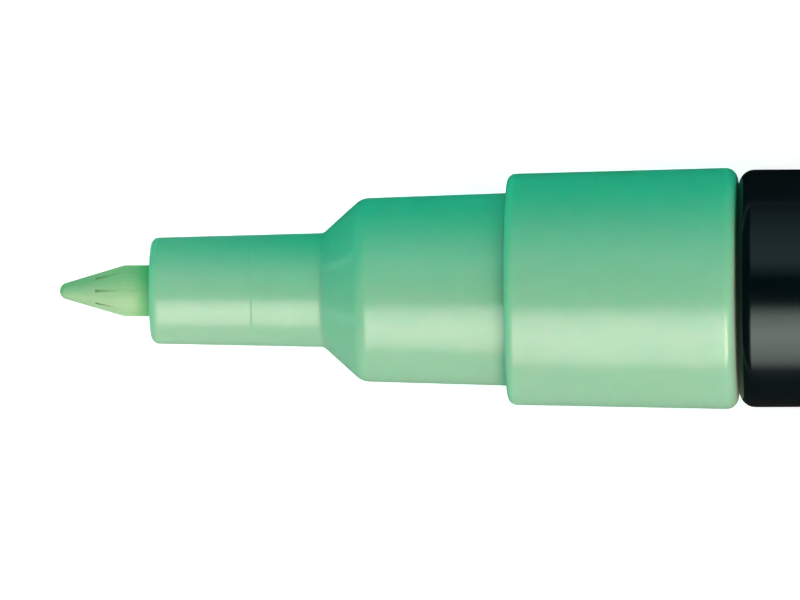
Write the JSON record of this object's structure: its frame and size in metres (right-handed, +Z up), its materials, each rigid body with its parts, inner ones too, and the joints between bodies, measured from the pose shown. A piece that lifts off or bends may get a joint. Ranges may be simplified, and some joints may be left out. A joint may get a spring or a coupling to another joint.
{
  "type": "paint marker",
  "caption": "Slim pen-shaped paint marker with a stepped green nose, a sprung capillary nib that opens a paint valve when pressed, and a pull-off cap posted on its tail.",
  "frame": {"origin": "middle of the marker's length, on its axis, with the cap posted on the tail", "axes": "+X along the marker's axis from nib to cap, +Z up as it lies on a table"},
  "size_m": [0.151, 0.0136, 0.0122],
  "materials": {
    "nib_fibre": "satin capillary plastic stained by green paint",
    "green_plastic": "satin-gloss moulded plastic",
    "black_plastic": "glossy black moulded plastic",
    "natural_plastic": "uncoloured moulded plastic",
    "felt": "bonded fibre",
    "rubber": "matt rubber",
    "spring_steel": "drawn stainless wire",
    "ball_steel": "ground steel"
  },
  "bodies": {
    "barrel": {"barrel": "black_plastic", "tail_plug": "black_plastic", "collar": "green_plastic", "collar_seal": "rubber", "nose": "green_plastic", "buffer_pad": "felt", "valve_housing": "natural_plastic", "valve_seat": "rubber", "valve_spring": "spring_steel", "spring_cage": "natural_plastic"},
    "pump": {"nib": "nib_fibre", "nib_carrier": "natural_plastic", "valve_stem": "natural_plastic"},
    "ball": {"mixing_ball": "ball_steel"},
    "cap": {"cap_shell": "green_plastic", "cap_liner": "natural_plastic"}
  },
  "joints": [
    {"name": "nib_press", "type": "slide", "parent": "barrel", "child": "pump", "axis": [1, 0, 0], "range_m": [0, 0.0015], "stiffness_N_per_m": 400, "springref_m": -0.002, "deforming": ["valve_spring"]},
    {"name": "ball_run", "type": "slide", "parent": "barrel", "child": "ball", "axis": [1, 0, 0], "range_m": [0, 0.06673]},
    {"name": "cap_pull", "type": "slide", "parent": "barrel", "child": "cap", "axis": [1, 0, 0], "range_m": [0, 0.03]}
  ]
}
